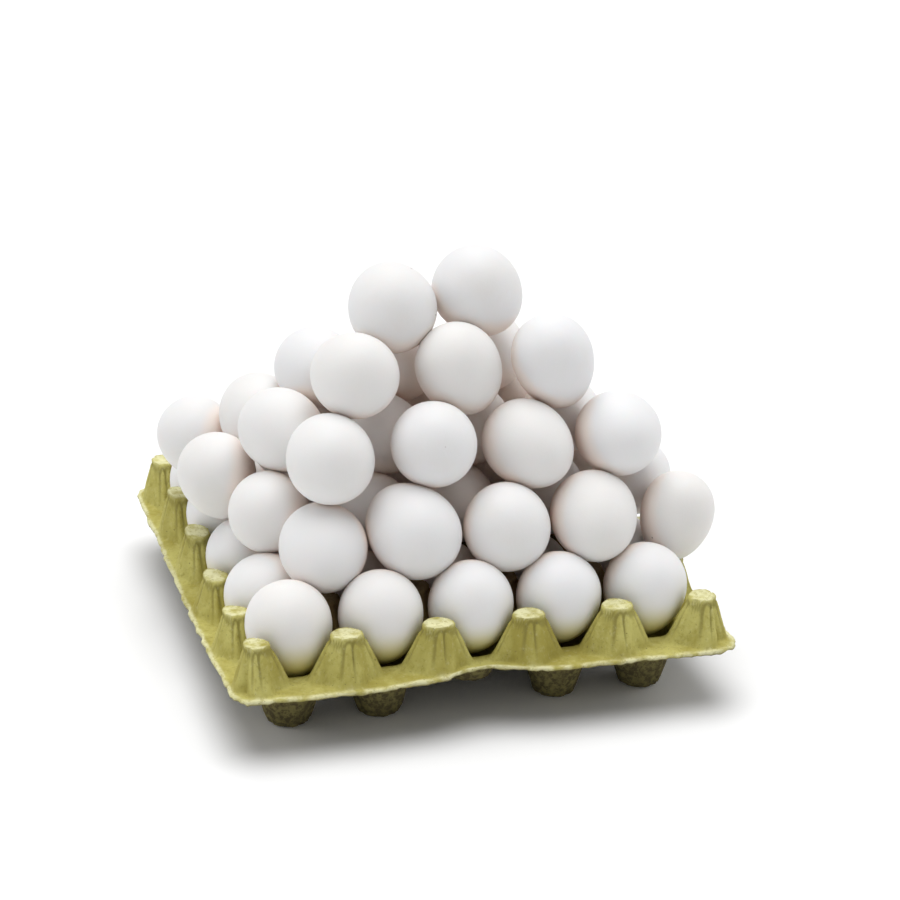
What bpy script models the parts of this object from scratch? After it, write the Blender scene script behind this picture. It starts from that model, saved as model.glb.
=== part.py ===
"""A moulded pulp tray of five by five cups with a heap of hens' eggs on it.

The bottom eggs stand in the cups with the narrow end down. Four more layers are heaped over them,
each one drawn in from the layer below. +X runs along the tray's front edge, +Y to its back and +Z up,
and the origin is at the middle of the tray, on the flat underside of the middle foot.
"""

import bmesh
import bpy
import numpy as np

# The tray, in metres
PITCH = 0.048  # from one post to the next
CELLS = 5  # cups along each side
SHEET = 0.002  # thickness of the pulp
RIM_HEIGHT = 0.0345  # upper face of the rim and of the saddles between the posts
RIM_MARGIN = 0.017  # from the outer posts' middle to the rim's edge
POST_HEIGHT = 0.0585
POST_TOP_RADIUS = 0.0075
POST_BASE_REACH = 0.0193  # a post's foot towards its neighbours
POST_BASE_WAIST = 0.0146  # and towards the cups, where it is hollowed
POST_OUTER_REACH = 0.0143  # a rim post's foot towards the rim
CUP_MOUTH_RADIUS = 0.0180
CUP_FOOT_RADIUS = 0.0094
SHALLOW_CUP = (2, 0)  # this cup, in the middle of the front, has no foot
SHALLOW_CUP_HEIGHT = 0.0150  # height of its underside
GRID_LINES = (0.0052, 0.0125, 0.0183, 0.0297, 0.0355, 0.0428)  # modelling lines from one post to the next
EDGE_LINES = (0.0052, RIM_MARGIN - 0.003, RIM_MARGIN)  # and outside the outer posts
LEFT_MARGIN_SHARE = 0.76  # the rim is narrower on the left
RIM_CORNER_POWER = 2.5  # 2 would round the rim's corners about the corner posts
TEAR_PLACE = 2.5  # in pitches: the front rim is torn back here
TEAR_REACH = 0.5
TEAR_DEPTH = 0.008
SLOPE_STEP = 0.0012  # half the width over which the slope is read
SAG_PLACE = (0.0, 1.8)  # in pitches: the left side has sunk here under the heap
SAG_REACH = 0.9
SAG_SHARE = 0.14

# The eggs
BOTTOM_EGG_WIDTH = 0.0436
EGG_RATIO = 1.175  # length over width
EGG_TAPER = 0.22  # how much narrower the pointed end is
EGG_SIDES = 9
EGG_RINGS = 5
EGG_SHRINK = 0.99  # keeps the faceted eggs clear of each other
BOTTOM_EGG_HEIGHT = 0.0533  # middle of an egg that stands in a cup
BOTTOM_EGG_LEAN = 10.0  # degrees, away from the middle of the heap
PRESSED_DOWN = 0.010  # the bottom eggs in the middle sit this much deeper under the heap
OUTER_PRESSED_DOWN = 0.003  # and those along the left, right and back
SIZE_SPREAD = 0.015  # share by which eggs differ in size
TURN_SPREAD = 11.0  # degrees by which the heaped eggs differ in direction
FACING_SHARES = (0.6, 0.4)  # shares of the heaped eggs with the blunt end to the front and to the back
FACET_START = (0.31, 0.19, 0.93)  # no lying egg's axis runs along this
STANDING_FACET_START = (1.0, 0.2, 0.1)  # and no standing egg's along this
SEED = 5

# How the heap settles
SPHERES = 5  # spheres along an egg that stand for it
SPHERE_SPAN = (-0.34, 0.40)  # their places along its half length, from the blunt end's side
CONTACT_GAP = 0.0003
LAYER_RISE = 0.0325
START_CLEARANCE = 0.004  # how far above its layer an egg starts
SETTLE_ROUNDS = 260
EASING_SHARE = 0.25  # share of the rounds, at the end, in which nothing sinks any more
PUSHES_PER_ROUND = 3
SINK_STEP = 0.0004  # how far an egg sinks in a round
AIM_PULL = 0.10  # share of the way back to its own place
PUSH_SHARE = 1.3  # of the overlap that a push takes away

# Heaped rows from the front: layer, distance back, first egg across, step across, number and width of
# the eggs. Distances are in pitches from the front left post.
HEAP_ROWS = (
    (2, 0.97, 0.89, 1.01, 4, 0.0452),
    (2, 1.00, 5.03, 1.00, 1, 0.0385),
    (2, 1.92, 0.66, 1.02, 5, 0.0425),
    (2, 2.80, 0.40, 1.03, 5, 0.0420),
    (2, 3.74, 0.33, 1.03, 5, 0.0425),
    (3, 1.36, 1.17, 1.08, 4, 0.0445),
    (3, 2.36, 0.84, 1.10, 4, 0.0420),
    (3, 3.36, 0.80, 1.03, 4, 0.0420),
    (4, 1.80, 1.48, 1.14, 3, 0.0442),
    (4, 3.00, 1.36, 1.01, 3, 0.0430),
    (5, 2.30, 2.00, 0.99, 2, 0.0450),
)

# Eggs that lie otherwise than their neighbours: width, length over width, heading and rise.
# The heading is the way the blunt end faces, in degrees from the front towards the right, and the rise
# is its angle above level.
ODD_EGGS = {
    "egg_2_05": (0.0385, 1.27, 90.0, 80.0),
    "egg_2_11": (0.0410, 1.20, -60.0, 70.0),
    "egg_2_16": (0.0415, 1.20, -60.0, 60.0),
    "egg_4_02": (0.0440, 1.22, -60.0, 58.0),
    "egg_4_03": (0.0425, 1.27, -60.0, 66.0),
    "egg_5_02": (0.0460, 1.13, -70.0, 45.0),
}


def post_rise(x, y):
    """Share of a post's height at x, y, measured from the post's middle."""
    reach = np.hypot(x, y)
    around = np.cos(4 * np.arctan2(y, x))
    base = (POST_BASE_REACH + POST_BASE_WAIST) / 2 + (POST_BASE_REACH - POST_BASE_WAIST) / 2 * around
    return np.clip((base - reach) / (base - POST_TOP_RADIUS), 0, 1)


def sag_at(x, y):
    """Share of its height that the tray has lost at x, y, measured from the front left post."""
    away = np.hypot(x / PITCH - SAG_PLACE[0], y / PITCH - SAG_PLACE[1])
    return SAG_SHARE * np.exp(-((away / SAG_REACH) ** 2) / 2)


def tray_height(x, y):
    """Height of the tray's upper face at x, y, measured from the front left post."""
    outside_x = outside_of(x)
    outside_y = outside_of(y)
    stretch = POST_BASE_REACH / POST_OUTER_REACH
    post_x = np.where(outside_x != 0, outside_x * stretch, x - PITCH * np.round(x / PITCH))
    post_y = np.where(outside_y != 0, outside_y * stretch, y - PITCH * np.round(y / PITCH))
    height = RIM_HEIGHT + (POST_HEIGHT - RIM_HEIGHT) * post_rise(post_x, post_y)
    cell_x = np.floor(x / PITCH)
    cell_y = np.floor(y / PITCH)
    from_cup = np.hypot(x - PITCH * (cell_x + 0.5), y - PITCH * (cell_y + 0.5))
    shallow = (cell_x == SHALLOW_CUP[0]) & (cell_y == SHALLOW_CUP[1])
    depth = RIM_HEIGHT - SHEET - np.where(shallow, SHALLOW_CUP_HEIGHT, 0.0)
    fall = np.clip((CUP_MOUTH_RADIUS - from_cup) / (CUP_MOUTH_RADIUS - CUP_FOOT_RADIUS), 0, 1)
    inside = (outside_x == 0) & (outside_y == 0)
    height = height - np.where(inside, depth * fall, 0.0)
    return SHEET + (height - SHEET) * (1 - sag_at(x, y))


def outside_of(position):
    """How far a position, from the left or front posts, is beyond the outer posts, and 0 between them."""
    side = CELLS * PITCH
    return np.where(position < 0, position, np.where(position > side, position - side, 0.0))


def rim_place(x, y):
    """Where x, y of a square rim really is: it has round corners, a narrow left side and a torn front."""
    outside_x = outside_of(x)
    outside_y = outside_of(y)
    power = RIM_CORNER_POWER
    square = np.maximum(abs(outside_x), abs(outside_y))
    rounded = (abs(outside_x) ** power + abs(outside_y) ** power) ** (1 / power)
    share = np.where(rounded > 0, square / np.maximum(rounded, SHEET / 10), 1.0)
    share_x = np.where(outside_x < 0, LEFT_MARGIN_SHARE, 1.0) * share
    tear = TEAR_DEPTH * np.exp(-(((x / PITCH - TEAR_PLACE) / TEAR_REACH) ** 2))
    share_y = np.where(outside_y < 0, 1 - tear / RIM_MARGIN, 1.0) * share
    return x + outside_x * (share_x - 1), y + outside_y * (share_y - 1)


def grid_positions():
    """Modelling lines across the tray, measured from the left or front posts."""
    side = CELLS * PITCH
    lines = [-edge for edge in EDGE_LINES]
    for cell in range(CELLS):
        lines += [cell * PITCH + line for line in GRID_LINES]
    lines += [side + edge for edge in EDGE_LINES]
    return np.array(sorted(lines))


def build_tray(material):
    """The sheet: its upper face on the modelling lines, its underside one thickness behind it."""
    lines = grid_positions()
    count = len(lines)
    x, y = np.meshgrid(lines, lines, indexing="ij")
    z = tray_height(x, y)
    slope_x = (tray_height(x + SLOPE_STEP, y) - tray_height(x - SLOPE_STEP, y)) / (2 * SLOPE_STEP)
    slope_y = (tray_height(x, y + SLOPE_STEP) - tray_height(x, y - SLOPE_STEP)) / (2 * SLOPE_STEP)
    edge = np.zeros((count, count), bool)
    edge[[0, -1], :] = True
    edge[:, [0, -1]] = True
    slope_x[edge] = 0
    slope_y[edge] = 0
    normal = np.stack([-slope_x, -slope_y, np.ones_like(z)], axis=-1)
    normal /= np.linalg.norm(normal, axis=-1, keepdims=True)
    middle = CELLS * PITCH / 2
    rim_x, rim_y = rim_place(x, y)
    upper = np.stack([rim_x - middle, rim_y - middle, z], axis=-1)
    lower = upper - SHEET * normal

    form = bmesh.new()
    top = [[form.verts.new(upper[i, j]) for j in range(count)] for i in range(count)]
    under = [[form.verts.new(lower[i, j]) for j in range(count)] for i in range(count)]
    for i in range(count - 1):
        for j in range(count - 1):
            across = (lines[i] + lines[i + 1]) / 2 % PITCH - PITCH / 2
            along = (lines[j] + lines[j + 1]) / 2 % PITCH - PITCH / 2
            corners = [(i, j), (i + 1, j), (i + 1, j + 1), (i, j + 1)]
            if across * along < 0:
                corners = corners[1:] + corners[:1]
            first, second, third, fourth = corners
            for triangle in ((first, second, third), (first, third, fourth)):
                form.faces.new([top[a][b] for a, b in triangle])
                form.faces.new([under[a][b] for a, b in reversed(triangle)])
    last = count - 1
    for k in range(last):
        walls = (
            ((k, 0), (k + 1, 0)),
            ((last, k), (last, k + 1)),
            ((k + 1, last), (k, last)),
            ((0, k + 1), (0, k)),
        )
        for (a, b), (c, d) in walls:
            form.faces.new([under[a][b], under[c][d], top[c][d]])
            form.faces.new([under[a][b], top[c][d], top[a][b]])
    return add_object("tray", form, material)


def egg_radius(along):
    """Radius of an egg over its half width, from -1 at the blunt end to 1 at the narrow end."""
    return np.sqrt(np.clip(1 - along**2, 0, None) / (1 + EGG_TAPER * along))


def egg_spheres(width, length):
    """Places along an egg's axis, and radii, of the spheres that just fit in it there."""
    along = np.linspace(-1, 1, 241)
    outline = np.stack([along * length / 2, egg_radius(along) * width / 2], axis=1)
    places = np.linspace(*SPHERE_SPAN, SPHERES) * length / 2
    radii = [np.min(np.hypot(outline[:, 0] - place, outline[:, 1])) for place in places]
    return places, np.array(radii)


def direction(heading, rise):
    """Unit vector that faces the front at a heading of 0, and is turned to the right and raised."""
    heading = np.radians(heading)
    rise = np.radians(rise)
    return np.array([np.sin(heading) * np.cos(rise), -np.cos(heading) * np.cos(rise), np.sin(rise)])


def lay_out_eggs():
    """Every egg before the heap settles: its name, middle, blunt end's direction, width and length."""
    random = np.random.default_rng(SEED)
    middle = CELLS * PITCH / 2
    eggs = []

    def add(name, x, y, z, heading, rise, width):
        width *= 1 + SIZE_SPREAD * random.normal()
        ratio = EGG_RATIO * (1 + SIZE_SPREAD * random.normal())
        if name in ODD_EGGS:
            width, ratio, heading, rise = ODD_EGGS[name]
        place = np.array([x * PITCH - middle, y * PITCH - middle, z])
        eggs.append((name, place, direction(heading, rise), width, width * ratio))

    number = 0
    for row in range(CELLS):
        for column in range(CELLS):
            number += 1
            name = f"egg_1_{number:02d}"
            outward = np.array([column, row]) - (CELLS - 1) / 2
            turn = np.degrees(np.arctan2(outward[0], -outward[1])) + random.normal(0, 15)
            lean = 90 - abs(random.normal(BOTTOM_EGG_LEAN, 3))
            height = BOTTOM_EGG_HEIGHT
            if row > 0:
                height -= PRESSED_DOWN if is_buried(name) else OUTER_PRESSED_DOWN
            x = column + 0.5
            y = row + 0.5
            height *= 1 - sag_at(x * PITCH, y * PITCH)
            add(name, x, y, height, turn, lean, BOTTOM_EGG_WIDTH)
    numbers = {}
    for layer, back, first, step, count, width in HEAP_ROWS:
        for place in range(count):
            numbers[layer] = numbers.get(layer, 0) + 1
            height = BOTTOM_EGG_HEIGHT + (layer - 1) * LAYER_RISE + START_CLEARANCE
            heading = random.normal(0, TURN_SPREAD) + random.choice((0, 180), p=FACING_SHARES)
            rise = random.normal(0, TURN_SPREAD)
            name = f"egg_{layer}_{numbers[layer]:02d}"
            add(name, first + step * place, back, height, heading, rise, width)
    return eggs


def settle(eggs):
    """Lowers the heaped eggs until they rest on those below, and returns the middles of all the eggs."""
    count = len(eggs)
    aims = np.array([egg[1] for egg in eggs])
    blunt = np.array([egg[2] for egg in eggs])
    free = np.array([not egg[0].startswith("egg_1_") for egg in eggs])
    spheres = [egg_spheres(egg[3], egg[4]) for egg in eggs]
    along = np.array([-places for places, _ in spheres])
    radii = np.array([radius for _, radius in spheres])
    post_line = np.arange(CELLS + 1) * PITCH - CELLS * PITCH / 2
    posts = np.array([(x, y, POST_HEIGHT - POST_TOP_RADIUS) for x in post_line for y in post_line])
    owner = np.repeat(np.arange(count), SPHERES)
    radius = radii.reshape(-1)
    apart = owner[:, None] != owner[None, :]
    offsets = (blunt[:, None, :] * along[:, :, None]).reshape(-1, 3)
    places = aims.copy()
    for turn in range(SETTLE_ROUNDS):
        if turn <= SETTLE_ROUNDS * (1 - EASING_SHARE):
            places[free, 2] -= SINK_STEP
            places[free, :2] += AIM_PULL * (aims[free, :2] - places[free, :2])
        for _ in range(PUSHES_PER_ROUND):
            centres = places[owner] + offsets
            push = np.zeros((count, 3))
            touches = np.zeros(count)
            apart_by = centres[:, None, :] - centres[None, :, :]
            distance = np.linalg.norm(apart_by, axis=2) + 1e-9
            overlap = (radius[:, None] + radius[None, :] + CONTACT_GAP - distance) * apart
            for a, b in np.argwhere(overlap > 0):
                share = 0.5 if free[owner[b]] else 1.0
                np.add.at(push, owner[a], share * overlap[a, b] * apart_by[a, b] / distance[a, b])
                touches[owner[a]] += 1
            from_post = centres[:, None, :] - posts[None, :, :]
            distance = np.linalg.norm(from_post, axis=2) + 1e-9
            overlap = radius[:, None] + POST_TOP_RADIUS + CONTACT_GAP - distance
            for a, b in np.argwhere(overlap > 0):
                np.add.at(push, owner[a], overlap[a, b] * from_post[a, b] / distance[a, b])
                touches[owner[a]] += 1
            moved = free & (touches > 0)
            places[moved] += PUSH_SHARE * push[moved] / np.maximum(touches[moved], 2)[:, None]
    return places


def is_buried(name):
    """The bottom eggs away from the tray's edges, which the heap hides on every side."""
    if not name.startswith("egg_1_"):
        return False
    row, column = divmod(int(name[-2:]) - 1, CELLS)
    return 0 < row < CELLS - 1 and 0 < column < CELLS - 1


def build_egg(name, place, blunt, width, length, material):
    """A ring-by-ring egg with its blunt end facing the way given."""
    standing = abs(blunt[2]) >= 0.8
    across = np.cross(blunt, STANDING_FACET_START if standing else FACET_START)
    across /= np.linalg.norm(across)
    other = np.cross(blunt, across)
    half_length = EGG_SHRINK * length / 2
    half_width = EGG_SHRINK * width / 2
    form = bmesh.new()
    rings = []
    for ring in range(1, EGG_RINGS + 1):
        along = -np.cos(np.pi * ring / (EGG_RINGS + 1))
        radius = half_width * egg_radius(along)
        points = []
        for side in range(EGG_SIDES):
            angle = 2 * np.pi * side / EGG_SIDES
            spoke = across * np.cos(angle) + other * np.sin(angle)
            points.append(form.verts.new(place - blunt * along * half_length + spoke * radius))
        rings.append(points)
    ends = (form.verts.new(place + blunt * half_length), form.verts.new(place - blunt * half_length))
    for side in range(EGG_SIDES):
        after = (side + 1) % EGG_SIDES
        form.faces.new([ends[0], rings[0][side], rings[0][after]])
        form.faces.new([ends[1], rings[-1][after], rings[-1][side]])
        for inner, outer in zip(rings, rings[1:]):
            form.faces.new([inner[side], outer[side], outer[after], inner[after]])
    return add_object(name, form, material)


def add_object(name, form, material):
    """Makes the bmesh into an object of the scene, with its faces pointing out."""
    bmesh.ops.recalc_face_normals(form, faces=form.faces)
    mesh = bpy.data.meshes.new(name)
    form.to_mesh(mesh)
    form.free()
    mesh.materials.append(material)
    thing = bpy.data.objects.new(name, mesh)
    bpy.context.scene.collection.objects.link(thing)
    return thing


def make_material(name, colour, roughness):
    material = bpy.data.materials.new(name)
    material.use_nodes = True
    shader = material.node_tree.nodes["Principled BSDF"]
    shader.inputs["Base Color"].default_value = (*colour, 1.0)
    shader.inputs["Roughness"].default_value = roughness
    shader.inputs["Metallic"].default_value = 0.0
    return material


def main():
    for thing in list(bpy.data.objects):
        bpy.data.objects.remove(thing, do_unlink=True)
    pulp = make_material("yellow_pulp", (0.50, 0.46, 0.14), 0.95)
    shell = make_material("white_shell", (0.82, 0.81, 0.80), 0.55)
    build_tray(pulp)
    eggs = lay_out_eggs()
    places = settle(eggs)
    for (name, _, blunt, width, length), place in zip(eggs, places):
        if not is_buried(name):
            build_egg(name, place, blunt, width, length, shell)


main()
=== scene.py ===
import math

import bpy
import numpy as np
from mathutils import Matrix, Vector, noise


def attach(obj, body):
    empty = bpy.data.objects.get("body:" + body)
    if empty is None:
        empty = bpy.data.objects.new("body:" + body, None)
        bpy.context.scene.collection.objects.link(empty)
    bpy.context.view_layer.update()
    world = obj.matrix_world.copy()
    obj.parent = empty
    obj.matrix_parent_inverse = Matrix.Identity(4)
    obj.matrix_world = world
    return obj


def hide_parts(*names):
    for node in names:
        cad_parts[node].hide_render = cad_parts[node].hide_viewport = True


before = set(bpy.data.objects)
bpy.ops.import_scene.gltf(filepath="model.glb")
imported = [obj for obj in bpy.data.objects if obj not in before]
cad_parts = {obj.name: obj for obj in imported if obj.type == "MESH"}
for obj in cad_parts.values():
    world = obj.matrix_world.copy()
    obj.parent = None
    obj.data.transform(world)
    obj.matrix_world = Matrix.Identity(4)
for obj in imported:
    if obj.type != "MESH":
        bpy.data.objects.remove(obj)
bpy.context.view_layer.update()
print("frame loaded,", len(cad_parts), "nodes")


def meshPiece(name, points, faces, material):
    # one smooth shaded mesh that rides on the part
    data = bpy.data.meshes.new(name)
    data.from_pydata([tuple(p) for p in points], [], [tuple(f) for f in faces])
    data.validate()
    data.shade_smooth()
    data.materials.append(material)
    piece = bpy.data.objects.new(name, data)
    bpy.context.scene.collection.objects.link(piece)
    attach(piece, "root")
    return piece


def paintPoints(piece, name, values):
    # a value for each point that the material reads
    layer = piece.data.attributes.new(name, "FLOAT", "POINT")
    layer.data.foreach_set("value", np.asarray(values, dtype=np.float32))


def unit(vector):
    return vector / np.linalg.norm(vector, axis=-1, keepdims=True)


def newMaterial(name):
    material = bpy.data.materials.new(name)
    material.use_nodes = True
    return material, material.node_tree.nodes, material.node_tree.links


def mixColour(nodes, links, share, first, second):
    # first where share is 0 and second where it is 1; each is a colour or a socket
    mix = nodes.new("ShaderNodeMix")
    mix.data_type = "RGBA"
    for place, value in ((6, first), (7, second)):
        if isinstance(value, bpy.types.NodeSocket):
            links.new(value, mix.inputs[place])
        else:
            mix.inputs[place].default_value = (*value, 1)
    links.new(share, mix.inputs[0])
    return mix.outputs[2]


def ramp(nodes, links, source, low, high, top=1.0):
    # 0 below low and top above high
    step = nodes.new("ShaderNodeMapRange")
    step.interpolation_type = "SMOOTHSTEP"
    step.inputs["From Min"].default_value = low
    step.inputs["From Max"].default_value = high
    step.inputs["To Max"].default_value = top
    links.new(source, step.inputs["Value"])
    return step.outputs["Result"]


def noiseAt(nodes, links, scale, detail=3.0, rough=0.55, stretch=(1, 1, 1)):
    place = nodes.new("ShaderNodeTexCoord")
    mapping = nodes.new("ShaderNodeMapping")
    mapping.inputs["Scale"].default_value = stretch
    cloud = nodes.new("ShaderNodeTexNoise")
    cloud.inputs["Scale"].default_value = scale
    cloud.inputs["Detail"].default_value = detail
    cloud.inputs["Roughness"].default_value = rough
    links.new(place.outputs["Object"], mapping.inputs["Vector"])
    links.new(mapping.outputs["Vector"], cloud.inputs["Vector"])
    return cloud.outputs["Fac"]


def bumpFrom(nodes, links, height, distance, under=None):
    bump = nodes.new("ShaderNodeBump")
    bump.inputs["Distance"].default_value = distance
    links.new(height, bump.inputs["Height"])
    if under is not None:
        links.new(under, bump.inputs["Normal"])
    return bump.outputs["Normal"]


def attribute(nodes, name):
    reader = nodes.new("ShaderNodeAttribute")
    reader.attribute_name = name
    return reader.outputs["Fac"]


eggLook = {
    "taper": 0.22,            # how much narrower the pointed end is
    "cadShrink": 0.99,        # the CAD eggs are this much smaller
    "swell": 1.012,           # and these make up for the facets' flat sides
    "sides": 48,
    "rings": 32,
    "unevenness": 0.0035,     # share by which a shell strays from its ideal outline
    "coolWhite": (0.85, 0.85, 0.86),
    "creamWhite": (0.85, 0.835, 0.815),
    "warmGapLight": (0.93, 0.84, 0.78),     # painted warm bounce light where shells nearly touch
    "warmGapShade": (0.90, 0.69, 0.59),  # painted warm shade deep between them
    "lowOliveTint": (0.72, 0.66, 0.27),  # olive and darker towards the bottom of the eggs that stand in the pulp
    "lowTintFrom": 0.056,       # height at which the olive tint fades out
    "lowTintTo": 0.034,
    "speck": (0.28, 0.22, 0.17),
    "speckCells": 95,         # cells in a metre, with one speck at most in each
    "speckReach": 0.055,      # share of a cell that its speck takes up
    "speckFrom": 0.93,        # share of the cells without a speck
    "shellLevel": 0.86,       # brightness of a shell, divided out of the olive tint
    "patchShade": 0.965,      # how dull the duller patches are
    "cloudScale": 28,
    "dimpleScale": 150,
    "dimpleBump": 0.00010,
    "poreScale": 900,
    "poreBump": 0.00003,
    "subsurface": 0.15,
    "subsurfaceDepth": 0.002,
    "buriedHeight": 0.0433,   # the eggs that the heap hides on every side
    "buriedWidth": 0.0430,
    "buriedLength": 0.0500,
    "buriedLean": 0.08,
    "roughness": 0.52,
    "seed": 21,
}


def mixLowTint(nodes, links, base):
    # the shell's colour with an olive, darker tint multiplied over it
    lowTint = nodes.new("ShaderNodeMix")
    lowTint.data_type = "RGBA"
    lowTint.blend_type = "MULTIPLY"
    lowTint.inputs[0].default_value = 1.0
    lowTint.inputs[7].default_value = (*(c / eggLook["shellLevel"] for c in eggLook["lowOliveTint"]), 1)
    links.new(base, lowTint.inputs[6])
    return lowTint.outputs[2]


def shellMaterial():
    material, nodes, links = newMaterial("whiteShell")
    shader = nodes["Principled BSDF"]
    tint = attribute(nodes, "tint")
    crowding = attribute(nodes, "crowding")
    clouds = noiseAt(nodes, links, eggLook["cloudScale"], 4)
    base = mixColour(nodes, links, tint, eggLook["coolWhite"], eggLook["creamWhite"])
    patchy = tuple(eggLook["patchShade"] * c for c in eggLook["creamWhite"])
    base = mixColour(nodes, links, ramp(nodes, links, clouds, 0.48, 0.70, 0.55), base, patchy)
    # painted warm bounce light and shade between the eggs, stronger where more shell closes in
    base = mixColour(nodes, links, ramp(nodes, links, crowding, 0.75, 1.60), base, eggLook["warmGapLight"])
    base = mixColour(nodes, links, ramp(nodes, links, crowding, 1.50, 2.60), base, eggLook["warmGapShade"])
    place = nodes.new("ShaderNodeTexCoord")
    height = nodes.new("ShaderNodeSeparateXYZ")
    links.new(place.outputs["Object"], height.inputs["Vector"])
    # olive and darker towards the bottom of the eggs
    untinted = ramp(nodes, links, height.outputs["Z"], eggLook["lowTintTo"], eggLook["lowTintFrom"])
    base = mixColour(nodes, links, untinted, mixLowTint(nodes, links, base), base)

    # sparse specks, each well under a millimetre
    cells = nodes.new("ShaderNodeTexVoronoi")
    cells.inputs["Scale"].default_value = eggLook["speckCells"]
    links.new(place.outputs["Object"], cells.inputs["Vector"])
    dot = nodes.new("ShaderNodeMath")
    dot.operation = "LESS_THAN"
    dot.inputs[1].default_value = eggLook["speckReach"]
    links.new(cells.outputs["Distance"], dot.inputs[0])
    few = nodes.new("ShaderNodeMath")
    few.operation = "GREATER_THAN"
    few.inputs[1].default_value = eggLook["speckFrom"]
    split = nodes.new("ShaderNodeSeparateColor")
    links.new(cells.outputs["Color"], split.inputs["Color"])
    links.new(split.outputs["Red"], few.inputs[0])
    both = nodes.new("ShaderNodeMath")
    both.operation = "MULTIPLY"
    links.new(dot.outputs[0], both.inputs[0])
    links.new(few.outputs[0], both.inputs[1])
    base = mixColour(nodes, links, ramp(nodes, links, both.outputs[0], 0, 1, 0.6), base, eggLook["speck"])
    links.new(base, shader.inputs["Base Color"])

    pores = noiseAt(nodes, links, eggLook["poreScale"], 2)
    dimples = noiseAt(nodes, links, eggLook["dimpleScale"], 3)
    normal = bumpFrom(nodes, links, dimples, eggLook["dimpleBump"])
    normal = bumpFrom(nodes, links, pores, eggLook["poreBump"], under=normal)
    links.new(normal, shader.inputs["Normal"])
    gloss = nodes.new("ShaderNodeMapRange")
    gloss.inputs["To Min"].default_value = eggLook["roughness"] - 0.06
    gloss.inputs["To Max"].default_value = eggLook["roughness"] + 0.10
    links.new(clouds, gloss.inputs["Value"])
    links.new(gloss.outputs["Result"], shader.inputs["Roughness"])
    shader.inputs["Specular IOR Level"].default_value = 0.35
    shader.inputs["Subsurface Weight"].default_value = eggLook["subsurface"]
    shader.inputs["Subsurface Radius"].default_value = (1.0, 0.55, 0.4)
    shader.inputs["Subsurface Scale"].default_value = eggLook["subsurfaceDepth"]
    return material


def eggOf(node):
    # middle, blunt end's direction, width and length of the egg that a CAD node stands for
    points = np.array([v.co[:] for v in node.data.vertices])
    apart = np.linalg.norm(points[:, None] - points[None], axis=2)
    first, second = np.unravel_index(np.argmax(apart), apart.shape)
    axis = unit(points[first] - points[second])
    middle = (points[first] + points[second]) / 2
    along = (points - middle) @ axis
    radius = np.linalg.norm(points - middle - along[:, None] * axis, axis=1)
    length = apart[first, second]
    upper = radius[(along > 0.1 * length) & (along < 0.4 * length)].mean()
    lower = radius[(along < -0.1 * length) & (along > -0.4 * length)].mean()
    if upper < lower:
        axis = -axis
    shrink = eggLook["cadShrink"]
    return middle, axis, 2 * radius.max() / shrink * eggLook["swell"], length / shrink * eggLook["swell"]


def eggPoints(middle, axis, width, length, random):
    # rings from the blunt end to the narrow end, a little uneven as real shells are
    helper = np.array((0.3, 0.2, 0.93)) if abs(axis[2]) < 0.8 else np.array((1.0, 0.2, 0.1))
    across = unit(np.cross(axis, helper))
    other = np.cross(axis, across)
    sides, rings = eggLook["sides"], eggLook["rings"]
    turn = np.arange(sides) * 2 * np.pi / sides
    taper = eggLook["taper"] + 0.04 * random.normal()
    phases = random.uniform(0, 2 * np.pi, 4)
    points = [middle + axis * length / 2]
    for ring in range(1, rings):
        along = -np.cos(np.pi * ring / rings)
        radius = np.sqrt((1 - along**2) / (1 + taper * along)) * width / 2
        wobble = np.cos(2 * turn + phases[0]) + 0.6 * np.cos(3 * turn + phases[1] + 2 * along)
        wobble += 0.5 * np.cos(turn + phases[2] + 4 * along)
        radius = radius * (1 + eggLook["unevenness"] * wobble)
        spokes = np.cos(turn)[:, None] * across + np.sin(turn)[:, None] * other
        points.extend(middle - axis * along * length / 2 + spokes * radius[:, None])
    points.append(middle - axis * length / 2)
    return np.array(points)


def eggFaces(start=0):
    sides, rings = eggLook["sides"], eggLook["rings"]
    faces = []
    last = start + 1 + (rings - 1) * sides
    for side in range(sides):
        after = (side + 1) % sides
        faces.append((start, start + 1 + side, start + 1 + after))
        faces.append((last, last - sides + after, last - sides + side))
        for ring in range(rings - 2):
            a = start + 1 + ring * sides
            b = a + sides
            faces.append((a + side, b + side, b + after, a + after))
    return faces


def crowdingAt(points, normals, middles, sizes, own):
    # how much the other eggs close in on each point: about 1 where two shells touch; the shell material
    # paints warm light and shade by it
    total = np.zeros(len(points))
    for index, (middle, size) in enumerate(zip(middles, sizes)):
        if index == own:
            continue
        towards = middle - points
        distance = np.linalg.norm(towards, axis=1)
        facing = np.clip((towards * normals).sum(axis=1) / distance, 0, None)
        total += facing * np.clip(size / distance, 0, 1) ** 2
    return total


def hiddenEggs():
    # the bottom eggs in the middle of the tray, under the heap
    found = []
    for row in range(1, trayShape["cells"] - 1):
        for column in range(1, trayShape["cells"] - 1):
            offset = np.array([column, row]) - (trayShape["cells"] - 1) / 2
            middle = np.array([*(offset * trayShape["pitch"]), eggLook["buriedHeight"]])
            lean = unit(np.array([*(eggLook["buriedLean"] * offset), 1.0]))
            found.append((middle, lean, eggLook["buriedWidth"], eggLook["buriedLength"]))
    return found


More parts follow.
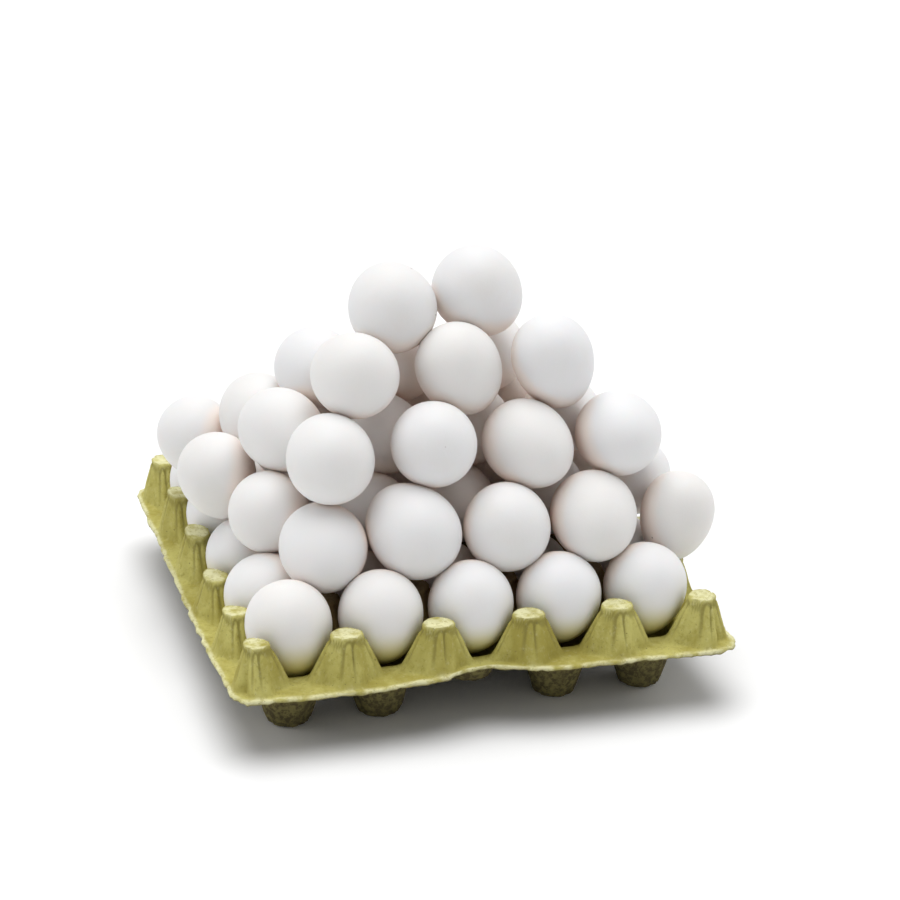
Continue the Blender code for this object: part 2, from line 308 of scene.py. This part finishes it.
def buildEggs(material):
    random = np.random.default_rng(eggLook["seed"])
    names = sorted(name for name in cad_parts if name.startswith("egg_"))
    eggs = [eggOf(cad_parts[name]) for name in names]
    buried = hiddenEggs()
    everything = eggs + buried
    middles = [egg[0] for egg in everything]
    sizes = [(egg[2] * 2 + egg[3]) / 6 for egg in everything]
    buriedPoints, buriedFaces, buriedCrowding = [], [], []
    for index, (middle, axis, width, length) in enumerate(everything):
        points = eggPoints(middle, axis, width, length, random)
        local = points - middle
        along = (local @ axis)[:, None] * axis
        normals = unit((local - along) / width**2 + along / length**2)
        crowding = crowdingAt(points, normals, middles, sizes, index)
        if index < len(eggs):
            name = names[index]
            piece = meshPiece("shell_" + name[4:], points, eggFaces(), material)
            paintPoints(piece, "crowding", crowding)
            paintPoints(piece, "tint", np.full(len(points), random.uniform(0, 1)))
            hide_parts(name)
        else:
            buriedFaces += eggFaces(len(buriedPoints))
            buriedPoints.extend(points)
            buriedCrowding.extend(crowding)
    piece = meshPiece("shell_buried", buriedPoints, buriedFaces, material)
    paintPoints(piece, "crowding", buriedCrowding)
    paintPoints(piece, "tint", np.full(len(buriedPoints), 0.5))
    print("eggs built:", len(eggs), "and", len(buried), "buried")


trayShape = {
    "cells": 5,
    "pitch": 0.048,
    "sheet": 0.002,
    "rimHeight": 0.0345,
    "rimMargin": 0.017,
    "leftMarginShare": 0.76,
    "cornerPower": 2.5,
    "tearPlace": 2.5,         # in pitches along the front
    "tearReach": 0.5,
    "tearDepth": 0.008,
    "postHeight": 0.0585,
    "postTopRadius": 0.0075,
    "postReach": 0.0193,      # a post's foot towards its neighbours
    "postWaist": 0.0146,      # and towards the cups
    "postOuterReach": 0.0143,
    "cupMouthRadius": 0.0180,
    "cupFootRadius": 0.0094,
    "shallowCup": (2, 0),
    "shallowCupHeight": 0.0150,
    "sagPlace": (0.0, 1.8),
    "sagReach": 0.9,
    "sagShare": 0.14,
    "linesPerPitch": 38,
    "crowdedLines": 0.5,      # how much closer the lines are at the posts
    "facets": 22,             # higher makes the posts' facets crisper
    "softEdge": 0.00022,      # rounding at the post tops
    "softFoot": 0.0009,       # and in the hollows
    "lip": 0.0007,
    # the grooves down each post face: degrees, depth, width in degrees
    "pleats": ((-19, 0.0012, 7), (-7, -0.0006, 8), (6, 0.0014, 4), (17, -0.0005, 7)),
    "lump": 0.00035,
    "grain": 0.00016,
    "ragged": 0.0010,         # how far the rim's edge strays
    "tearRagged": 1.5,        # and how much more it does at the tear
    # lengths along the rim: with the share of the straying, and with the height of a wave
    "edgeWander": ((0.013, 1.3), (0.0042, 0.9)),
    "edgeWave": ((0.045, 0.0012), (0.012, 0.0006)),
    "biteLength": 0.009,      # small bites out of the edge
    "biteFrom": 0.32,
    "biteDepth": 0.004,
    "trim": 0.0006,
}


def softStep(value, low, high):
    share = np.clip((value - low) / (high - low), 0, 1)
    return share * share * (3 - 2 * share)


def softOver(value, softness):
    # the value where it is above nought, rounded off into nought
    return softness * np.logaddexp(0, value / softness)


def softUnder(value, limit, softness):
    return limit - softOver(limit - value, softness)


def outsideOf(position):
    side = trayShape["cells"] * trayShape["pitch"]
    return np.where(position < 0, position, np.where(position > side, position - side, 0.0))


def postOffset(position):
    # from the nearest post's middle, with the narrow outer half of a rim post stretched to match
    t = trayShape
    outside = outsideOf(position)
    nearest = position - t["pitch"] * np.round(position / t["pitch"])
    return np.where(outside != 0, outside * t["postReach"] / t["postOuterReach"], nearest)


def trayForm(x, y):
    # height of the sheet's upper face at x, y from the front left post, and how far up a post it is
    t = trayShape
    postX, postY = postOffset(x), postOffset(y)
    power = t["facets"]
    diagonal = np.abs(postX + postY) ** power + np.abs(postX - postY) ** power
    reach = (np.abs(postX) ** power + np.abs(postY) ** power + diagonal / 2 ** (power / 2)) ** (1 / power)
    around = np.arctan2(postY, postX)
    middle = (t["postReach"] + t["postWaist"]) / 2
    swing = (t["postReach"] - t["postWaist"]) / 2
    base = middle + swing * np.cos(4 * around)
    # pleats run down each face of a post and fade towards its foot
    quarter = np.degrees((around + np.pi / 4) % (np.pi / 2) - np.pi / 4)
    top = t["postTopRadius"]
    fade = softStep(reach, top + 0.0006, top + 0.0020)
    fade = fade * (1 - 0.6 * softStep(reach, top + 0.003, top + 0.010))
    groove = np.zeros_like(reach)
    for place, depth, width in t["pleats"]:
        groove = groove + depth * np.exp(-((quarter - place) / width) ** 2) * fade
    grooved = reach + groove
    postRise = t["postHeight"] - t["rimHeight"]
    climb = (base - grooved) / (base - top) * postRise
    post = softUnder(softOver(climb, t["softFoot"]), postRise, t["softEdge"])
    post = post - 0.0004 * np.clip(1 - (reach / top) ** 2, 0, 1)
    cellX = np.floor(x / t["pitch"])
    cellY = np.floor(y / t["pitch"])
    fromCup = np.hypot(x - t["pitch"] * (cellX + 0.5), y - t["pitch"] * (cellY + 0.5))
    shallow = (cellX == t["shallowCup"][0]) & (cellY == t["shallowCup"][1])
    depth = t["rimHeight"] - t["sheet"] - np.where(shallow, t["shallowCupHeight"], 0.0)
    fall = (t["cupMouthRadius"] - fromCup) / (t["cupMouthRadius"] - t["cupFootRadius"]) * depth
    cup = softUnder(softOver(fall, t["softFoot"]), depth, t["softFoot"])
    inside = (outsideOf(x) == 0) & (outsideOf(y) == 0)
    height = t["rimHeight"] + post - np.where(inside, cup, 0.0)
    away = np.hypot(x / t["pitch"] - t["sagPlace"][0], y / t["pitch"] - t["sagPlace"][1])
    sag = t["sagShare"] * np.exp(-((away / t["sagReach"]) ** 2) / 2)
    height = t["sheet"] + (height - t["sheet"]) * (1 - sag)
    return height, post / postRise, reach, groove


def wander(values, scale, seed):
    # smooth noise along one line of values
    return np.array([noise.noise(Vector((v / scale, seed * 7.31, 0.5))) for v in values])


def lumps(points, scale, seed):
    shift = seed * 3.7
    return np.array([noise.noise(Vector(p) / scale + Vector((shift, shift, shift))) for p in points])


def gridLines():
    # lines across the tray, closest together at the posts
    t = trayShape
    side = t["cells"] * t["pitch"]
    steps = np.linspace(0, t["cells"], t["cells"] * t["linesPerPitch"] + 1)
    inner = t["pitch"] * (steps - t["crowdedLines"] * np.sin(2 * np.pi * steps) / (2 * np.pi))
    outer = t["rimMargin"] * np.linspace(0, 1, 22)[1:] ** 0.9
    return np.concatenate([-outer[::-1], inner, side + outer])


def rimPlace(x, y, stray):
    # moves the points beyond the outer posts: round corners, a narrow left side, a tear and a ragged edge
    t = trayShape
    outX, outY = outsideOf(x), outsideOf(y)
    power = t["cornerPower"]
    square = np.maximum(abs(outX), abs(outY))
    rounded = (abs(outX) ** power + abs(outY) ** power) ** (1 / power)
    share = np.where(rounded > 0, square / np.maximum(rounded, 1e-5), 1.0)
    share = share * (1 + stray / t["rimMargin"] * (square / t["rimMargin"]) ** 2)
    shareX = np.where(outX < 0, t["leftMarginShare"], 1.0) * share
    tear = t["tearDepth"] * np.exp(-(((x / t["pitch"] - t["tearPlace"]) / t["tearReach"]) ** 2))
    shareY = np.where(outY < 0, 1 - tear / t["rimMargin"], 1.0) * share
    return x + outX * (shareX - 1), y + outY * (shareY - 1), tear * (outY < 0)


def buildTray(material):
    t = trayShape
    lines = gridLines()
    count = len(lines)
    x, y = np.meshgrid(lines, lines, indexing="ij")
    height, up, reach, groove = trayForm(x, y)
    step = 0.0004
    slopeX = (trayForm(x + step, y)[0] - trayForm(x - step, y)[0]) / (2 * step)
    slopeY = (trayForm(x, y + step)[0] - trayForm(x, y - step)[0]) / (2 * step)
    normal = unit(np.stack([-slopeX, -slopeY, np.ones_like(x)], axis=-1))

    # the rim's edge strays from its line and waves up and down
    outX, outY = outsideOf(x), outsideOf(y)
    run = (x - y).ravel()
    atTear = np.exp(-(((x / t["pitch"] - t["tearPlace"]) / t["tearReach"]) ** 2)) * (outY < 0)
    (longRun, longShare), (shortRun, shortShare) = t["edgeWander"]
    stray = longShare * wander(run, longRun, 1) + shortShare * wander(run, shortRun, 2)
    stray = stray.reshape(x.shape)
    bite = np.clip(wander(run, t["biteLength"], 3) - t["biteFrom"], 0, 1) * t["biteDepth"]
    bite = bite.reshape(x.shape)
    stray = t["ragged"] * stray * (1 + t["tearRagged"] * atTear) - bite - t["trim"]
    x2, y2, tear = rimPlace(x, y, stray)
    nearEdge = softStep(np.maximum(abs(outX), abs(outY)), t["rimMargin"] * 0.45, t["rimMargin"])
    (longRun, longWave), (shortRun, shortWave) = t["edgeWave"]
    wave = longWave * wander(run, longRun, 4) + shortWave * wander(run, shortRun, 5)
    wave = wave.reshape(x.shape)
    height = height + nearEdge * (wave - 0.0004 + 0.20 * tear)

    middle = t["cells"] * t["pitch"] / 2
    upper = np.stack([x2 - middle, y2 - middle, height], axis=-1).reshape(-1, 3)
    flatNormal = normal.reshape(-1, 3)
    # each post's flat top is pressed out into a thin lip
    spoke = np.stack([postOffset(x), postOffset(y), np.zeros_like(x)], axis=-1).reshape(-1, 3)
    spoke = spoke / (np.linalg.norm(spoke, axis=1, keepdims=True) + 1e-6)
    fromTop = reach.ravel() - t["postTopRadius"]
    out = np.exp(-((fromTop + 0.0002) / 0.0006) ** 2)
    lip = t["lip"] * (out - 0.5 * np.exp(-((fromTop - 0.0012) / 0.0006) ** 2))
    upper = upper + spoke * lip[:, None]
    relief = t["lump"] * lumps(upper, 0.011, 1) + t["grain"] * lumps(upper, 0.0034, 2)
    below = 1.8 * t["lump"] * lumps(upper, 0.006, 3) + 3.5 * t["grain"] * lumps(upper, 0.0028, 4)
    onFeet = softStep(upper[:, 2], 0.0020, 0.0060)
    lower = upper - flatNormal * t["sheet"]
    upper = upper + flatNormal * relief[:, None]
    lower = lower + flatNormal * (np.minimum(below, 0.0008) * onFeet)[:, None]
    lower[:, 2] = np.maximum(lower[:, 2], 0.0)

    index = np.arange(count * count).reshape(count, count)
    total = count * count
    a, b, c, d = index[:-1, :-1], index[1:, :-1], index[1:, 1:], index[:-1, 1:]
    upFaces = np.stack([a, b, c, d], axis=-1).reshape(-1, 4)
    downFaces = np.stack([d, c, b, a], axis=-1).reshape(-1, 4) + total
    loop = np.concatenate([index[:-1, 0], index[-1, :-1], index[:0:-1, -1], index[0, :0:-1]])
    after = np.roll(loop, -1)
    # a rounded edge: one loop of points stands out between the two faces
    outward = np.stack([np.sign(outX), np.sign(outY), np.zeros_like(outX)], axis=-1).reshape(-1, 3)
    middleLoop = (upper[loop] + lower[loop]) / 2 + 0.0005 * unit(outward[loop] + 1e-9)
    ring = 2 * total + np.arange(len(loop))
    ringAfter = np.roll(ring, -1)
    edgeUp = np.stack([loop, ring, ringAfter, after], axis=-1)
    edgeDown = np.stack([ring, loop + total, after + total, ringAfter], axis=-1)
    points = np.concatenate([upper, lower, middleLoop])
    faces = np.concatenate([upFaces, downFaces, edgeUp, edgeDown])
    tray = meshPiece("pulpTray", points, faces, material)

    # painted highlight: the post tops are lighter, and the rim's edge too, partly as torn-fibre wear and
    # partly as painted highlight
    lid = softStep(-fromTop, -0.0002, 0.0005) * (up.ravel() > 0.9)
    onPost = softStep(up.ravel(), 0.02, 0.15)
    # painted shade under each post's lip and down its grooves
    underLip = np.exp(-((fromTop - 0.0011) / 0.0007) ** 2)
    creaseShade = onPost * np.clip(underLip + np.clip(groove.ravel(), 0, None) / 0.0013, 0, 1)
    rim = softStep(nearEdge.ravel(), 0.70, 1.0)
    highlightAndWear = np.maximum(lid, rim)
    zero = np.zeros(total)
    paintPoints(tray, "highlightAndWear", np.concatenate([highlightAndWear, 0.3 * rim, np.ones(len(loop))]))
    # marks the underside, which the material paints in shade
    paintPoints(tray, "underside", np.concatenate([zero, zero + 1, zero[:len(loop)] + 0.2]))
    # the tray away from its edges lies under the heap and is painted in reddish-brown shade
    edgeWay = np.minimum(np.minimum(x, y), t["cells"] * t["pitch"] - np.maximum(x, y)).ravel() / t["pitch"]
    inside = 0.8 * softStep(edgeWay, 0.45, 0.8)
    paintPoints(tray, "inside", np.concatenate([inside, zero, zero[:len(loop)]]))
    paintPoints(tray, "creaseShade", np.concatenate([creaseShade, zero, zero[:len(loop)]]))
    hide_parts("tray")
    print("tray built:", len(points), "points")


pulpLook = {
    "body": (0.56, 0.52, 0.165),
    "dark": (0.38, 0.33, 0.075),
    "light": (0.76, 0.74, 0.44),     # painted highlight on the post tops, the rim's pale edge (part wear, part painted highlight) and stray fibres
    # painted shade under the post lips and in their grooves
    "creaseShade": (0.22, 0.19, 0.05),
    "under": (0.20, 0.175, 0.065),   # painted shade on the underside, and underDark deeper painted shade in blotches
    "underDark": (0.085, 0.07, 0.03),
    "inside": (0.30, 0.19, 0.11),    # painted reddish-brown shade under the heap
    "fleck": (0.22, 0.19, 0.07),
    "roughness": 0.93,
    "cloudScale": 45,
    "patchScale": 120,
    "mottleScale": 330,
    "fibreScale": 420,
    "fibreBump": 0.0003,
    "fleckScale": 700,
    "coarseScale": 260,
    "coarseBump": 0.0006,
}


def pulpMaterial():
    material, nodes, links = newMaterial("yellowPulp")
    shader = nodes["Principled BSDF"]
    cloud = noiseAt(nodes, links, pulpLook["cloudScale"], 5, 0.6, (1, 1, 0.35))
    fibre = noiseAt(nodes, links, pulpLook["fibreScale"], 4, 0.65, (1, 1, 0.8))
    fleck = noiseAt(nodes, links, pulpLook["fleckScale"], 2, 0.5)
    clouded = ramp(nodes, links, cloud, 0.38, 0.66)
    base = mixColour(nodes, links, clouded, pulpLook["body"], pulpLook["dark"])
    # painted highlight on the post tops, and on the rim's edge partly wear and partly painted highlight
    highlightAndWear = attribute(nodes, "highlightAndWear")
    patch = nodes.new("ShaderNodeMath")
    patch.operation = "MULTIPLY"
    links.new(highlightAndWear, patch.inputs[0])
    patchy = noiseAt(nodes, links, pulpLook["patchScale"], 3)
    links.new(ramp(nodes, links, patchy, 0.25, 0.6), patch.inputs[1])
    base = mixColour(nodes, links, patch.outputs[0], base, pulpLook["light"])
    mottle = noiseAt(nodes, links, pulpLook["mottleScale"], 4, 0.7)
    base = mixColour(nodes, links, ramp(nodes, links, mottle, 0.48, 0.70, 0.62), base, pulpLook["dark"])
    # painted shade under the post lips and in their grooves
    creaseShade = ramp(nodes, links, attribute(nodes, "creaseShade"), 0.1, 1.0, 0.65)
    base = mixColour(nodes, links, creaseShade, base, pulpLook["creaseShade"])
    # painted shade on the underside, darker in random blotches
    blotch = ramp(nodes, links, mottle, 0.40, 0.60)
    below = mixColour(nodes, links, blotch, pulpLook["under"], pulpLook["underDark"])
    blotch = ramp(nodes, links, cloud, 0.45, 0.65, 0.6)
    below = mixColour(nodes, links, blotch, below, pulpLook["underDark"])
    # painted reddish-brown shade under the heap
    base = mixColour(nodes, links, attribute(nodes, "inside"), base, pulpLook["inside"])
    base = mixColour(nodes, links, ramp(nodes, links, fibre, 0.52, 0.80, 0.25), base, pulpLook["light"])
    base = mixColour(nodes, links, ramp(nodes, links, fleck, 0.66, 0.74, 0.7), base, pulpLook["fleck"])
    base = mixColour(nodes, links, attribute(nodes, "underside"), base, below)
    links.new(base, shader.inputs["Base Color"])
    shader.inputs["Roughness"].default_value = pulpLook["roughness"]
    shader.inputs["Specular IOR Level"].default_value = 0.2
    coarse = noiseAt(nodes, links, pulpLook["coarseScale"], 5, 0.6)
    normal = bumpFrom(nodes, links, coarse, pulpLook["coarseBump"])
    normal = bumpFrom(nodes, links, fibre, pulpLook["fibreBump"], under=normal)
    links.new(normal, shader.inputs["Normal"])
    return material


studio = {
    "target": (0.0, 0.0, 0.072),
    "azimuth": -16.9,         # degrees, as are the next two
    "elevation": 23.65,
    "roll": 1.8,
    "distance": 1.449,
    "aimRight": 0.0168,       # how far beside the target the camera aims
    "aimUp": 0.0280,
    "lens": 106.2,
    "floor": (0.96, 0.96, 0.96),
    "sky": 0.36,
    # place, size and power of each lamp
    "lamps": {
        "overheadLamp": ((-0.2, 0.4, 8.0), 8.0, 468.0),
        "behindLamp": ((0.3, 2.2, 3.0), 2.5, 22.0),
        "leftLamp": ((-2.2, 0.3, 1.3), 1.6, 8.0),
        "rightLamp": ((2.2, 0.1, 1.3), 1.6, 10.4),
    },
}


def buildFloor():
    bpy.ops.mesh.primitive_plane_add(size=12)
    floor = bpy.context.object
    floor.name = "studioFloor"
    material, nodes = newMaterial("paleFloor")[:2]
    shader = nodes["Principled BSDF"]
    shader.inputs["Base Color"].default_value = (*studio["floor"], 1)
    shader.inputs["Roughness"].default_value = 0.9
    floor.data.materials.append(material)


def addLamp(name, place, size, power):
    data = bpy.data.lights.new(name, "AREA")
    data.shape = "DISK"
    data.size = size
    data.energy = power
    lamp = bpy.data.objects.new(name, data)
    lamp.location = place
    lamp.rotation_euler = (Vector(studio["target"]) - Vector(place)).to_track_quat("-Z", "Y").to_euler()
    bpy.context.scene.collection.objects.link(lamp)


def addCamera():
    azimuth, elevation, roll = (math.radians(studio[k]) for k in ("azimuth", "elevation", "roll"))
    back = Vector((math.sin(azimuth) * math.cos(elevation), -math.cos(azimuth) * math.cos(elevation),
                   math.sin(elevation)))
    right = Vector((math.cos(azimuth), math.sin(azimuth), 0))
    up = back.cross(right)
    right, up = math.cos(roll) * right + math.sin(roll) * up, math.cos(roll) * up - math.sin(roll) * right
    target = Vector(studio["target"])
    eye = target + back * studio["distance"]
    aim = target + right * studio["aimRight"] + up * studio["aimUp"]
    back = (eye - aim).normalized()
    right = (right - back * right.dot(back)).normalized()
    up = back.cross(right)
    data = bpy.data.cameras.new("studioCamera")
    data.lens = studio["lens"]
    data.sensor_width = 36
    data.clip_end = 50
    camera = bpy.data.objects.new("studioCamera", data)
    camera.matrix_world = Matrix.Translation(eye) @ Matrix((right, up, back)).transposed().to_4x4()
    bpy.context.scene.collection.objects.link(camera)
    bpy.context.scene.camera = camera


def buildStudio():
    buildFloor()
    world = bpy.data.worlds.new("softSky")
    world.use_nodes = True
    world.node_tree.nodes["Background"].inputs["Color"].default_value = (1, 1, 1, 1)
    world.node_tree.nodes["Background"].inputs["Strength"].default_value = studio["sky"]
    bpy.context.scene.world = world
    for name, (place, size, power) in studio["lamps"].items():
        addLamp(name, place, size, power)
    addCamera()
    bpy.context.scene.view_settings.view_transform = "Standard"
    print("studio ready")


buildTray(pulpMaterial())
buildEggs(shellMaterial())
buildStudio()
